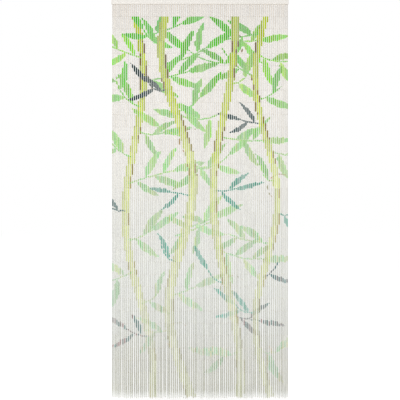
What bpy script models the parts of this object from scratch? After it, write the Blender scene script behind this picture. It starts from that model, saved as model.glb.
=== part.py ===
"""Door curtain of bamboo tubes threaded into strands, hanging from a painted wooden rail.

Metres, +Z up. The front of the curtain faces -Y. The origin is the middle of the rail's back
face, where the rail is fastened to a wall or a door frame.
"""

import math

import bmesh
import bpy
from mathutils import Vector

# The rail
RAIL_LENGTH = 0.900
RAIL_HEIGHT = 0.022
RAIL_DEPTH = 0.015
RAIL_EDGE = 0.0012

# One strand of tubes
TUBE_DIAMETER = 0.0077
TUBE_PITCH = 0.0623
TUBES_PER_STRAND = 32
STRETCHES_PER_STRAND = 8

# The row of strands
STRAND_COUNT = 90
STRAND_PITCH = 0.00993
CLEARANCE = 0.0003
STRIP_HEIGHT = 0.0015

# How far the strands stray from a true line at their lower ends
SIDE_SWAY = 0.0015
DEPTH_SWAY = 0.0012
SWAY_GROWTH = 1.6
BOW_SHARE = 0.25
LENGTH_SPREAD = 0.0040

# Salts that keep one scattered quantity apart from the next
SALT_SIDE, SALT_SIDE_BOW, SALT_DEPTH, SALT_DEPTH_BOW, SALT_LENGTH = 1, 2, 3, 4, 5

# Finishes: colour, roughness
RAIL_PAINT = ((0.87, 0.84, 0.78, 1.0), 0.45)
BAMBOO = ((0.74, 0.71, 0.64, 1.0), 0.55)


def clear_scene():
    """Removes every object that the scene holds."""
    for old in list(bpy.data.objects):
        bpy.data.objects.remove(old, do_unlink=True)


def finish_material(name, finish):
    """A plain material of one colour and roughness."""
    colour, roughness = finish
    material = bpy.data.materials.new(name)
    material.use_nodes = True
    material.diffuse_color = colour
    shader = material.node_tree.nodes["Principled BSDF"]
    shader.inputs["Base Color"].default_value = colour
    shader.inputs["Roughness"].default_value = roughness
    shader.inputs["Metallic"].default_value = 0.0
    return material


def add_object(name, shape, material):
    """Turns a finished shape into a named object with its material."""
    bmesh.ops.recalc_face_normals(shape, faces=shape.faces)
    mesh = bpy.data.meshes.new(name)
    shape.to_mesh(mesh)
    shape.free()
    mesh.materials.append(material)
    piece = bpy.data.objects.new(name, mesh)
    bpy.context.scene.collection.objects.link(piece)
    return piece


def scatter(index, salt):
    """A fixed, evenly spread value from -1 to 1 for one strand."""
    value = math.sin(index * 12.9898 + salt * 78.233) * 43758.5453
    return 2.0 * (value - math.floor(value)) - 1.0


def stray(index, drop, reach, lean_salt, bow_salt):
    """Distance off the true line at a drop of 0 (rail) to 1 (end): a lean and a slight bow."""
    lean = (1.0 - BOW_SHARE) * scatter(index, lean_salt) * drop**SWAY_GROWTH
    bow = BOW_SHARE * scatter(index, bow_salt) * drop * math.sin(2.0 * math.pi * drop)
    return reach * (lean + bow)


def strand_length(index):
    """Length of a strand below the rail: the tubes aren't cut to quite one length."""
    return TUBES_PER_STRAND * TUBE_PITCH + LENGTH_SPREAD * scatter(index, SALT_LENGTH)


def strand_point(index, drop):
    """Centre of a strand at a drop of 0 (underside of the rail) to 1 (lower end)."""
    home_x = (index - (STRAND_COUNT - 1) / 2.0) * STRAND_PITCH
    return Vector(
        (
            home_x + stray(index, drop, SIDE_SWAY, SALT_SIDE, SALT_SIDE_BOW),
            -RAIL_DEPTH / 2.0 + stray(index, drop, DEPTH_SWAY, SALT_DEPTH, SALT_DEPTH_BOW),
            -RAIL_HEIGHT / 2.0 - drop * strand_length(index),
        )
    )


def build_rail():
    """The batten that everything hangs from, with its long edges eased."""
    shape = bmesh.new()
    bmesh.ops.create_cube(shape, size=1.0)
    bmesh.ops.scale(shape, vec=(RAIL_LENGTH, RAIL_DEPTH, RAIL_HEIGHT), verts=shape.verts)
    bmesh.ops.translate(shape, vec=(0.0, -RAIL_DEPTH / 2.0, 0.0), verts=shape.verts)
    rail = add_object("rail", shape, finish_material("painted_wood", RAIL_PAINT))
    softened = rail.modifiers.new("softened_edges", "BEVEL")
    softened.width = RAIL_EDGE
    softened.segments = 2
    softened.limit_method = "ANGLE"


def extrude_face(shape, face, step, keep_start=False):
    """Pushes one face along a step and returns the face at its new end."""
    grown = bmesh.ops.extrude_face_region(shape, geom=[face])["geom"]
    corners = [item for item in grown if isinstance(item, bmesh.types.BMVert)]
    bmesh.ops.translate(shape, vec=step, verts=corners)
    if not keep_start:
        bmesh.ops.delete(shape, geom=[face], context="FACES_ONLY")
    return next(item for item in grown if isinstance(item, bmesh.types.BMFace))


def face_under(end):
    """The side face that meets the lowest edge of an end face."""
    lowest = min(end.edges, key=lambda edge: edge.verts[0].co.z + edge.verts[1].co.z)
    return next(face for face in lowest.link_faces if face is not end)


def build_strip(shape):
    """Draws the narrow strip that all strands share along +X, and returns their root faces."""
    left = strand_point(0, 0.0).x - TUBE_DIAMETER / 2.0
    front = -RAIL_DEPTH / 2.0 - TUBE_DIAMETER / 2.0
    top = -RAIL_HEIGHT / 2.0 - CLEARANCE
    corners = [
        shape.verts.new((left, front + across * TUBE_DIAMETER, top - down * STRIP_HEIGHT))
        for across, down in ((0, 0), (0, 1), (1, 1), (1, 0))
    ]
    end = shape.faces.new(corners)
    over_tube = Vector((TUBE_DIAMETER, 0.0, 0.0))
    over_gap = Vector((STRAND_PITCH - TUBE_DIAMETER, 0.0, 0.0))
    roots = []
    for index in range(STRAND_COUNT):
        if index > 0:
            end = extrude_face(shape, end, over_gap)
        end = extrude_face(shape, end, over_tube, keep_start=index == 0)
        roots.append(face_under(end))
    return roots


def grow_strand(shape, root, index):
    """Draws a strand down from its root face, through the points of its path."""
    at = root.calc_center_median()
    for stretch in range(1, STRETCHES_PER_STRAND + 1):
        point = strand_point(index, stretch / STRETCHES_PER_STRAND)
        root = extrude_face(shape, root, point - at)
        at = point


def build_strands():
    """All strands in one solid, standing apart below the strip that their roots share."""
    shape = bmesh.new()
    for index, root in enumerate(build_strip(shape)):
        grow_strand(shape, root, index)
    add_object("strands", shape, finish_material("painted_bamboo", BAMBOO))


def main():
    clear_scene()
    build_rail()
    build_strands()


main()
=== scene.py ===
"""Looks of a strand door curtain: painted bamboo tubes on threads, under a painted wooden rail.

Metres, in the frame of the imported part: +X along the rail, +Y back towards the wall, +Z up. The
origin is the middle of the rail's back face, and the printed front faces -Y.
"""

from __future__ import annotations

import logging
import math
from dataclasses import dataclass
from enum import Enum, IntEnum
from typing import Iterator, NamedTuple, Union

import bmesh
import bpy
import numpy as np
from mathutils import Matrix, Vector

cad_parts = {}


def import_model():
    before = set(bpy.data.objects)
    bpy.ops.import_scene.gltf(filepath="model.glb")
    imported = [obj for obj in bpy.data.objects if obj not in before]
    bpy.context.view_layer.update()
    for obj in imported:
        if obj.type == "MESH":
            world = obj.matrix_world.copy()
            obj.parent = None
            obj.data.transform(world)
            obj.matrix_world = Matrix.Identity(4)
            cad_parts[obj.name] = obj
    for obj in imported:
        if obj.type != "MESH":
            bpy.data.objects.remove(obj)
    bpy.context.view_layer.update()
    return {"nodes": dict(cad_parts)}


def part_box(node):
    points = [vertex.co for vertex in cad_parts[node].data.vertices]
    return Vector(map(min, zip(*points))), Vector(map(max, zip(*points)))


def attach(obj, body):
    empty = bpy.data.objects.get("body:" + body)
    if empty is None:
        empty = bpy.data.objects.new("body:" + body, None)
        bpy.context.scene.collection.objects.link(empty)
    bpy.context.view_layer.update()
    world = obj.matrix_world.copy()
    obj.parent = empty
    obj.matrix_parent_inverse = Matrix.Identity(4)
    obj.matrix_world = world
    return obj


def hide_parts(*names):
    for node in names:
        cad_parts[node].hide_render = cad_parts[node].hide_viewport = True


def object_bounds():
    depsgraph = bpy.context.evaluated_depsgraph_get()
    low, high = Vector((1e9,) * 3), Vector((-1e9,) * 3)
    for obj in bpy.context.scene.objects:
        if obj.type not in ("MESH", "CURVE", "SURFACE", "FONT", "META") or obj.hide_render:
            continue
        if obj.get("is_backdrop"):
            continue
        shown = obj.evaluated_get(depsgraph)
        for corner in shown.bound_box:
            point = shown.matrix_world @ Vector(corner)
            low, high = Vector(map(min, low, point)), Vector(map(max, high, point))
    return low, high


LOG = logging.getLogger("strand_curtain")

Socket = bpy.types.NodeSocket
Feed = Union[Socket, float, tuple]


class Salt(IntEnum):
    """Keeps one scattered quantity apart from the next. The first five are the solids' own."""

    SIDE = 1
    SIDE_BOW = 2
    DEPTH = 3
    DEPTH_BOW = 4
    LENGTH = 5
    GIRTH = 6
    ROLL = 7
    NUDGE_ACROSS = 8
    NUDGE_FORE = 9
    TONE = 10
    WARMTH = 11
    SEED = 12
    LEAF_SPREAD = 13
    LEAF_LENGTH = 14
    LEAF_WIDTH = 15
    LEAF_SHADE = 16
    UPPER_EDGE = 17
    LOWER_EDGE = 18
    STROKE_SHADE = 19
    SPRAY_HEADING = 20
    SPRAY_DROOP = 21
    SPRAY_PAIRS = 22
    SPRAY_SIZE = 23
    SPRAY_GAP = 24
    TENDRIL = 28
    TAIL = 29
    STROKE_WARMTH = 30
    STEM_TONE = 31
    LEFT_BARK = 32
    RIGHT_BARK = 33


def scatter(index: float, salt: int) -> float:
    """A fixed, evenly spread value, from the same sum that scatters the solids.

    Args:
        index: The thing that the value is for.
        salt: The quantity that the value is for.

    Returns:
        A value from -1 to 1, the same in each run.
    """
    value = math.sin(index * 12.9898 + salt * 78.233) * 43758.5453
    return 2.0 * (value - math.floor(value)) - 1.0


# Colours


class Colour(NamedTuple):
    """A colour as a screen shows it, each part from 0 to 255."""

    red: float
    green: float
    blue: float

    def towards(self, other: Colour, share: float) -> Colour:
        """The colour that far on the way to another one."""
        return Colour(*(near + (far - near) * share for near, far in zip(self, other)))

    def shaded(self, shade: float, warmth: float = 0.0) -> Colour:
        """The colour made lighter, over 1, or darker, and with more red in it, or less."""
        red = self.red * (1.0 + warmth)
        return Colour(*(min(255.0, part * shade) for part in (red, self.green, self.blue)))

    def linear(self, alpha: float = 1.0) -> tuple[float, float, float, float]:
        """The colour as light, as nodes and attributes take it.

        Args:
            alpha: The fourth part, which is kept as it is.

        Returns:
            Red, green and blue from 0 to 1, and alpha.
        """
        parts = []
        for part in self:
            level = part / 255.0
            parts.append(level / 12.92 if level <= 0.04045 else ((level + 0.055) / 1.055) ** 2.4)
        return (*parts, alpha)


WHITE = Colour(255, 255, 255)


# The strands' paths


@dataclass(frozen=True)
class StrandRow:
    """Where the strands hang: along the same paths as the solids that they stand for."""

    top_z: float
    centre_y: float
    count: int = 90
    pitch: float = 0.00993
    tubes: int = 32
    tube_pitch: float = 0.0623
    length_spread: float = 0.0040
    side_sway: float = 0.0015
    depth_sway: float = 0.0012
    sway_growth: float = 1.6
    bow_share: float = 0.25

    @property
    def full_length(self) -> float:
        """Length of a strand whose tubes are all cut true."""
        return self.tubes * self.tube_pitch

    def length(self, strand: int) -> float:
        """Length of one strand below the rail."""
        return self.full_length + self.length_spread * scatter(strand, Salt.LENGTH)

    def home_x(self, strand: int) -> float:
        """Where the strand leaves the rail."""
        return (strand - (self.count - 1) / 2.0) * self.pitch

    def stray(self, strand: int, drop: float, reach: float, lean: Salt, bow: Salt) -> float:
        """Distance off the true line: a lean and a slight bow.

        Args:
            strand: Which strand, counted from -X.
            drop: 0 at the rail to 1 at the lower end.
            reach: The most that a strand strays.
            lean: The quantity that the lean is drawn for.
            bow: The quantity that the bow is drawn for.

        Returns:
            The distance in metres.
        """
        leaning = (1.0 - self.bow_share) * scatter(strand, lean) * drop**self.sway_growth
        bowed = self.bow_share * scatter(strand, bow) * drop * math.sin(2.0 * math.pi * drop)
        return reach * (leaning + bowed)

    def point(self, strand: int, drop: float) -> Vector:
        """Centre of a strand.

        Args:
            strand: Which strand, counted from -X.
            drop: 0 at the rail to 1 at the lower end.

        Returns:
            The point in the row frame.
        """
        across = self.stray(strand, drop, self.side_sway, Salt.SIDE, Salt.SIDE_BOW)
        back = self.stray(strand, drop, self.depth_sway, Salt.DEPTH, Salt.DEPTH_BOW)
        return Vector(
            (
                self.home_x(strand) + across,
                self.centre_y + back,
                self.top_z - drop * self.length(strand),
            )
        )


# The painted leaf print

# How far apart the seeds of neighbouring draws lie
SEEDS_A_METRE = 7.0
SEEDS_A_TURN = 40.0
SEEDS_A_BATCH = 100.0
SEEDS_A_STEM = 10
SEEDS_A_SPRAY = 17


@dataclass(frozen=True)
class Ink:
    """One paint, which covers fully at the rail and grows paler towards the foot of the curtain."""

    head: Colour
    middle: Colour
    foot: Colour
    foot_cover: float
    middle_at: float = 0.40
    vivid_to: float = 0.06
    palest_at: float = 0.85

    def at(self, share: float) -> tuple[Colour, float]:
        """The paint at one height.

        Args:
            share: 0 at the rail to 1 at the foot.

        Returns:
            Its colour, and how well it covers.
        """
        share = min(max(share, self.vivid_to), self.palest_at)
        if share < self.middle_at:
            faded = (share - self.vivid_to) / (self.middle_at - self.vivid_to)
            colour = self.head.towards(self.middle, faded)
        else:
            faded = (share - self.middle_at) / (self.palest_at - self.middle_at)
            colour = self.middle.towards(self.foot, faded)
        thinned = (share - self.vivid_to) / (self.palest_at - self.vivid_to)
        return colour, 1.0 + (self.foot_cover - 1.0) * thinned


class Inks(Enum):
    """The paints of the print."""

    LEAF = Ink(Colour(92, 196, 0), Colour(157, 213, 114), Colour(182, 206, 164), 0.60)
    YOUNG = Ink(Colour(136, 214, 0), Colour(176, 218, 120), Colour(192, 208, 172), 0.60)
    STEM = Ink(Colour(173, 188, 0), Colour(199, 208, 114), Colour(200, 203, 168), 0.60)
    TEAL = Ink(Colour(40, 150, 122), Colour(62, 162, 136), Colour(164, 202, 188), 0.80, 0.60)
    SLATE = Ink(Colour(0, 44, 34), Colour(6, 72, 68), Colour(172, 170, 163), 1.00, 0.33)
    BARK = Ink(Colour(112, 84, 0), Colour(156, 132, 64), Colour(186, 178, 150), 0.45)


class Spot(NamedTuple):
    """A place on the curtain's face: along the rail, and down from its underside."""

    x: float
    drop: float

    def moved(self, heading: float, distance: float) -> Spot:
        """The place that far off in a direction, in degrees, where 90 is up."""
        angle = math.radians(heading)
        return Spot(self.x + distance * math.cos(angle), self.drop - distance * math.sin(angle))


class Edge(NamedTuple):
    """A straight edge of paint on a tube: paint lies where across*x + down*drop + reach > 0.

    Here x is counted from the tube's own axis.
    """

    across: float
    down: float
    reach: float

    @classmethod
    def sloping(cls, drop: float, slope: float, below: bool) -> Edge:
        """An edge that crosses the tube's axis.

        Args:
            drop: Where it crosses the axis.
            slope: How fast it falls towards +X.
            below: True if the paint lies below it.

        Returns:
            The edge.
        """
        sign = (1.0 if below else -1.0) / math.hypot(1.0, slope)
        return cls(-sign * slope, sign, -sign * drop)


class Stroke(NamedTuple):
    """One patch of paint on one strand, between two edges.

    The round_off is how much lighter its rims are than its middle.
    """

    top: float
    bottom: float
    near: Edge
    far: Edge
    colour: Colour
    cover: float
    round_off: float


@dataclass(frozen=True)
class Blade:
    """A pointed shape of the print: a leaf, a twig or a tendril."""

    root: Spot
    heading: float
    length: float
    width: float
    turn: float
    ink: Ink
    shade: float = 1.0
    round_off: float = 0.12
    stations: int = 9
    fullness: float = 0.75
    belly: float = 0.85
    ragged: float = 0.0030
    thinnest: float = 0.002
    steepest: float = 1.0
    shade_spread: float = 0.06
    warmth_spread: float = 0.16

    @property
    def middle(self) -> Spot:
        """A point halfway along a straight line from the root."""
        return self.root.moved(self.heading, 0.5 * self.length)

    def outline(self) -> list[Spot]:
        """Walks along the curving spine and swells to both sides of it.

        Returns:
            The closed outline, up one side of the spine and down the other.
        """
        left: list[Spot] = []
        right: list[Spot] = []
        spine = self.root
        for station in range(self.stations + 1):
            share = station / self.stations
            heading = self.heading + self.turn * (share - 0.5)
            swell = max(0.0, math.sin(math.pi * share**self.belly)) ** self.fullness
            left.append(spine.moved(heading - 90.0, 0.5 * self.width * swell))
            right.append(spine.moved(heading + 90.0, 0.5 * self.width * swell))
            spine = spine.moved(heading, self.length / self.stations)
        return left + right[-2:0:-1]

    def crossings(self, outline: list[Spot], strand_x: float) -> list[tuple[float, float]]:
        """Where the outline crosses a strand's line.

        Args:
            outline: The closed outline.
            strand_x: The strand's place.

        Returns:
            The drop of each crossing and the slope of the paint's cut there, from the highest down.
        """
        found = []
        for near, far in zip(outline, outline[1:] + outline[:1]):
            if (near.x - strand_x) * (far.x - strand_x) < 0.0:
                slope = (far.drop - near.drop) / (far.x - near.x)
                cut = min(max(slope, -self.steepest), self.steepest)
                found.append((near.drop + slope * (strand_x - near.x), cut))
        return sorted(found)

    def strokes(self, row: StrandRow, strand: int) -> Iterator[Stroke]:
        """The paint that the shape leaves on one strand.

        Args:
            row: The row of strands.
            strand: Which strand, counted from -X.

        Yields:
            One stroke for each stretch of the strand that the shape covers.
        """
        crossed = self.crossings(self.outline(), row.home_x(strand))
        for (top, top_slope), (bottom, bottom_slope) in zip(crossed[::2], crossed[1::2]):
            top += self.ragged * scatter(strand + SEEDS_A_METRE * top, Salt.UPPER_EDGE)
            bottom += self.ragged * scatter(strand + SEEDS_A_METRE * bottom, Salt.LOWER_EDGE)
            if bottom - top < self.thinnest:
                continue
            middle = 0.5 * (top + bottom)
            colour, cover = self.ink.at(middle / row.full_length)
            lighter = self.shade_spread * scatter(strand + middle, Salt.STROKE_SHADE)
            warmer = self.warmth_spread * scatter(strand + middle, Salt.STROKE_WARMTH)
            yield Stroke(
                top,
                bottom,
                Edge.sloping(top, top_slope, below=True),
                Edge.sloping(bottom, bottom_slope, below=False),
                colour.shaded(self.shade * (1.0 + lighter), warmer),
                cover,
                self.round_off,
            )


@dataclass(frozen=True)
class Stem:
    """A climbing stem, from its head down to its foot, swaying about a slanting line.

    Bark shows along a side where the draw for it lies over that side's limit.
    """

    head: Spot
    foot: Spot
    sway: float
    turns: float
    phase: float
    head_width: float
    foot_width: float
    first_side: int
    first_spray: float
    over_leaves: bool
    side_shade: float = -0.18
    tone_spread: float = 0.07
    tubes_a_tone: int = 3
    bark_width: float = 0.0090
    right_bark_over: float = 0.40
    left_bark_over: float = 0.70
    ragged: float = 0.0030
    thinnest: float = 0.002
    least_lean: float = 1e-4
    overrun: float = 0.25

    def share(self, drop: float) -> float:
        """How far down the stem a drop lies, 0 at its head to 1 at its foot."""
        return (drop - self.head.drop) / (self.foot.drop - self.head.drop)

    def centre(self, drop: float) -> Spot:
        """Middle of the stem.

        Args:
            drop: How far below the rail.

        Returns:
            The place.
        """
        share = self.share(drop)
        line = self.head.x + (self.foot.x - self.head.x) * share
        turned = 2.0 * math.pi * (self.turns * share + self.phase)
        return Spot(line + self.sway * math.sin(turned), drop)

    def width(self, drop: float) -> float:
        """The stem grows wider down to two thirds of its height."""
        grown = min(1.0, 1.5 * self.share(drop))
        return self.head_width + (self.foot_width - self.head_width) * grown

    def lean(self, drop: float) -> float:
        """How the stem slants.

        Args:
            drop: How far below the rail.

        Returns:
            How far it moves towards +X for each metre down, never quite nothing.
        """
        step = 0.01
        lean = (self.centre(drop + step).x - self.centre(drop - step).x) / (2.0 * step)
        return math.copysign(max(abs(lean), self.least_lean), lean)

    def strokes(self, row: StrandRow, strand: int, tube: int) -> Iterator[Stroke]:
        """The paint that the stem leaves on one tube: its body, and bark along its sides in places.

        Args:
            row: The row of strands.
            strand: Which strand, counted from -X.
            tube: Which tube, counted from the rail.

        Yields:
            The strokes, from the lowest up.
        """
        drop = (tube + 0.5) * row.tube_pitch
        if not self.head.drop < drop < self.foot.drop:
            return
        half = 0.5 * self.width(drop)
        yield from self.band(row, strand, tube, -half, half, Inks.STEM.value)
        bark = Inks.BARK.value
        place = tube + SEEDS_A_TURN * self.phase
        if scatter(place, Salt.RIGHT_BARK) > self.right_bark_over:
            yield from self.band(row, strand, tube, half - self.bark_width, half, bark)
        if scatter(place, Salt.LEFT_BARK) > self.left_bark_over:
            yield from self.band(row, strand, tube, -half, self.bark_width - half, bark)

    def band(
        self, row: StrandRow, strand: int, tube: int, left: float, right: float, ink: Ink
    ) -> Iterator[Stroke]:
        """The paint between two lines along the stem, on one tube.

        A tube takes the paint right across wherever its axis lies between the lines, so that a
        slanting stem has stepped sides.

        Args:
            row: The row of strands.
            strand: Which strand, counted from -X.
            tube: Which tube, counted from the rail.
            left: The first line, counted from the stem's middle towards +X.
            right: The second line.
            ink: The paint.

        Yields:
            The stroke, unless the band passes the tube by.
        """
        top = tube * row.tube_pitch
        drop = top + 0.5 * row.tube_pitch
        lean = self.lean(drop)
        size = math.hypot(1.0, lean)
        off = row.home_x(strand) - self.centre(drop).x
        entry, leave = sorted(drop + (off - line * size) / lean for line in (left, right))
        entry += self.ragged * scatter(strand + SEEDS_A_METRE * entry, Salt.UPPER_EDGE)
        leave += self.ragged * scatter(strand + SEEDS_A_METRE * leave, Salt.LOWER_EDGE)
        spare = self.overrun * row.tube_pitch
        start, stop = max(entry, top - spare), min(leave, top + row.tube_pitch + spare)
        if min(stop, top + row.tube_pitch) - max(start, top) < self.thinnest:
            return
        colour, cover = ink.at(drop / row.full_length)
        batch = strand + SEEDS_A_BATCH * (tube // self.tubes_a_tone)
        tone = 1.0 + self.tone_spread * scatter(batch, Salt.STEM_TONE)
        aside = (off - lean * (0.5 * (start + stop) - drop)) / (0.5 * self.width(drop) * size)
        tone *= 1.0 + self.side_shade * (aside * aside - 0.5)
        yield Stroke(
            start,
            stop,
            Edge.sloping(start, 0.0, below=True),
            Edge.sloping(stop, 0.0, below=False),
            colour.shaded(tone),
            cover,
            0.0,
        )


@dataclass(frozen=True)
class LeafPrint:
    """A generic print of climbing stems with sprays of leaves and tendrils.

    The accents name the sprays that stand out, each by its stem and its place on it. An angle, and
    a spray's droop, is a middle value and how far it may lie from it, in degrees. A spray is full,
    or has a tendril, where the draw for it lies over a limit.
    """

    row: StrandRow
    layers: int = 6
    bare_rows: int = 1
    spray_gap: float = 0.102
    gap_growth: float = 0.052
    gap_spread: float = 0.012
    last_spray: float = 1.84
    spray_angle: tuple[float, float] = (95.0, 30.0)
    spray_droop: tuple[float, float] = (-30.0, 40.0)
    full_above: float = 1.40
    full_over: float = -0.4
    leaf_length: float = 0.158
    leaf_slimness: float = 4.6
    leaf_angle: tuple[float, float] = (42.0, 14.0)
    leaf_curl: float = 24.0
    leaf_spread: float = 0.10
    leaf_shade_spread: float = 0.06
    spray_spread: float = 0.08
    outer_leaf: float = 0.86
    tip_leaf: float = 1.05
    tip_curl: float = 0.2
    accent_slimness: float = 5.9
    accent_size: float = 0.85
    elbow_room: float = 0.055
    twig_width: float = 0.0080
    twig_reach: float = 0.28
    twig_overlap: float = 1.25
    twig_ragged: float = 0.0008
    tendril_over: float = 0.6
    tendril_lower: float = 0.09
    tendril_length: float = 0.24
    tendril_width: float = 0.0045
    tendril_heading: float = 40.0
    tendril_turn: float = 210.0
    tendril_shade: float = 1.05

    accents: tuple[tuple[Inks, tuple[tuple[int, int], ...]], ...] = (
        (Inks.SLATE, ((1, 2), (3, 4), (0, 7), (3, 9), (2, 10), (0, 11))),
        (Inks.TEAL, ((1, 6), (2, 6), (3, 7), (1, 8), (2, 9), (3, 10))),
        (Inks.YOUNG, ((0, 1), (1, 4), (2, 0), (2, 2), (3, 1))),
    )

    stems: tuple[Stem, ...] = (
        Stem(
            head=Spot(-0.355, 0.070), foot=Spot(-0.290, 1.990),
            sway=0.058, turns=1.25, phase=0.08, head_width=0.034, foot_width=0.040,
            first_side=1, first_spray=0.165, over_leaves=False,
        ),
        Stem(
            head=Spot(-0.130, 0.060), foot=Spot(-0.075, 1.990),
            sway=0.070, turns=1.45, phase=0.62, head_width=0.040, foot_width=0.048,
            first_side=-1, first_spray=0.200, over_leaves=True,
        ),
        Stem(
            head=Spot(0.115, 0.060), foot=Spot(0.145, 1.990),
            sway=0.062, turns=1.10, phase=0.22, head_width=0.036, foot_width=0.042,
            first_side=1, first_spray=0.180, over_leaves=True,
        ),
        Stem(
            head=Spot(0.335, 0.060), foot=Spot(0.340, 1.990),
            sway=0.056, turns=1.55, phase=0.50, head_width=0.032, foot_width=0.037,
            first_side=-1, first_spray=0.150, over_leaves=True,
        ),
    )

    def accent(self, stem: int, place: int) -> Ink:
        """The paint of one spray: most are leaf green, and a few stand out."""
        chosen = (ink.value for ink, sprays in self.accents if (stem, place) in sprays)
        return next(chosen, Inks.LEAF.value)

    def spray(
        self, root: Spot, heading: float, droop: float, pairs: int, leaf: float, ink: Ink, seed: int
    ) -> Iterator[Blade]:
        """Leaves on an arching twig, turn and turn about, and one at its tip.

        Args:
            root: Where the twig leaves the stem.
            heading: The direction in which it leaves, in degrees, where 90 is up.
            droop: How far it turns by its tip.
            pairs: How many pairs of leaves it carries.
            leaf: Length of its longest leaves.
            ink: The leaves' paint.
            seed: Tells this spray from the others.

        Yields:
            The twig's stretches and the leaves.
        """
        at = root
        accent = ink not in (Inks.LEAF.value, Inks.YOUNG.value)
        slim = self.accent_slimness if accent else self.leaf_slimness
        step = self.twig_reach * leaf
        count = 2 * pairs
        angle, spread = self.leaf_angle
        for place in range(count + 1):
            turned = heading + droop * place / count
            twig = self.twig_overlap * step
            yield Blade(
                at, turned, twig, self.twig_width, 0.0, ink, round_off=0.0, ragged=self.twig_ragged
            )
            at = at.moved(turned, step)
            if place == count:
                tip = self.tip_leaf * leaf
                yield Blade(at, turned, tip, tip / slim, self.tip_curl * droop, ink)
                return
            side = 1.0 if place % 2 else -1.0
            draw = seed * SEEDS_A_SPRAY + place
            middle = math.sin(math.pi * (place + 1) / (count + 1))
            length = leaf * (self.outer_leaf + (1.0 - self.outer_leaf) * middle)
            length *= 1.0 + self.leaf_spread * scatter(draw, Salt.LEAF_LENGTH)
            slimness = slim * (1.0 + self.leaf_spread * scatter(draw, Salt.LEAF_WIDTH))
            yield Blade(
                at,
                turned + side * (angle + spread * scatter(draw, Salt.LEAF_SPREAD)),
                length,
                length / slimness,
                -self.leaf_curl * side,
                ink,
                shade=1.0 + self.leaf_shade_spread * scatter(draw, Salt.LEAF_SHADE),
            )

    def sprays_of(self, number: int, stem: Stem) -> Iterator[Blade]:
        """All that grows from one stem.

        Args:
            number: Which stem, counted from -X.
            stem: The stem.

        Yields:
            Its leaves, twigs and tendrils, from its head down.
        """
        drop, side = stem.first_spray, stem.first_side
        angle, angle_spread = self.spray_angle
        droop, droop_spread = self.spray_droop
        place = 0
        while drop < self.last_spray:
            seed = number * SEEDS_A_STEM + place
            ink = self.accent(number, place)
            green = ink in (Inks.LEAF.value, Inks.YOUNG.value)
            full = green and drop < self.full_above
            longest = self.leaf_length * (1.0 if green else self.accent_size)
            longest *= 1.0 + self.spray_spread * scatter(seed, Salt.SPRAY_SIZE)
            yield from self.spray(
                stem.centre(drop),
                90.0 - side * (angle + angle_spread * scatter(seed, Salt.SPRAY_HEADING)),
                -side * (droop + droop_spread * scatter(seed, Salt.SPRAY_DROOP)),
                2 if full and scatter(seed, Salt.SPRAY_PAIRS) > self.full_over else 1,
                longest,
                ink,
                seed,
            )
            if scatter(seed, Salt.TENDRIL) > self.tendril_over:
                yield self.tendril(stem.centre(drop + self.tendril_lower), side)
            strayed = self.gap_spread * scatter(seed, Salt.SPRAY_GAP)
            drop += self.spray_gap + self.gap_growth * drop + strayed
            side = -side
            place += 1

    def tendril(self, root: Spot, side: int) -> Blade:
        """A thin curl of bark colour.

        Args:
            root: Where it leaves the stem.
            side: -1 for a curl towards +X, and 1 for one towards -X.

        Returns:
            The curl.
        """
        return Blade(
            root,
            90.0 + self.tendril_heading * side,
            self.tendril_length,
            self.tendril_width,
            self.tendril_turn * side,
            Inks.BARK.value,
            self.tendril_shade,
            round_off=0.0,
        )

    def paint(self) -> list[list[list[Stroke]]]:
        """Works out all strokes of the print.

        Returns:
            For each strand, for each tube from the rail down, its strokes from the lowest layer up.
        """
        sprays = (self.sprays_of(number, stem) for number, stem in enumerate(self.stems))
        blades = self.thinned(blade for grown in sprays for blade in grown)
        painted = []
        for strand in range(self.row.count):
            patches = [stroke for blade in blades for stroke in blade.strokes(self.row, strand)]
            painted.append([self.on_tube(strand, tube, patches) for tube in range(self.row.tubes)])
        return painted

    def thinned(self, blades: Iterator[Blade]) -> list[Blade]:
        """Leaves out each leaf whose place another one has taken.

        Args:
            blades: All shapes, in the order in which they are painted.

        Returns:
            The shapes that stay.
        """
        kept: list[Blade] = []
        taken: list[Spot] = []
        for blade in blades:
            if blade.width > self.twig_width:
                near = (math.dist(blade.middle, other) for other in taken)
                if min(near, default=math.inf) < self.elbow_room:
                    continue
                taken.append(blade.middle)
            kept.append(blade)
        return kept

    def on_tube(self, strand: int, tube: int, patches: list[Stroke]) -> list[Stroke]:
        """The strokes of one tube.

        Args:
            strand: Which strand, counted from -X.
            tube: Which tube, counted from the rail.
            patches: The leaf and twig strokes of the whole strand.

        Returns:
            The tube's strokes from the lowest layer up, no more than it can carry.
        """
        if tube < self.bare_rows:
            return []
        under, over = [], []
        for stem in self.stems:
            (over if stem.over_leaves else under).extend(stem.strokes(self.row, strand, tube))
        top = tube * self.row.tube_pitch
        bottom = top + self.row.tube_pitch
        here = [patch for patch in patches if patch.bottom > top and patch.top < bottom]
        return (under + here + over)[-self.layers :]


# Shader recipes


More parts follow.
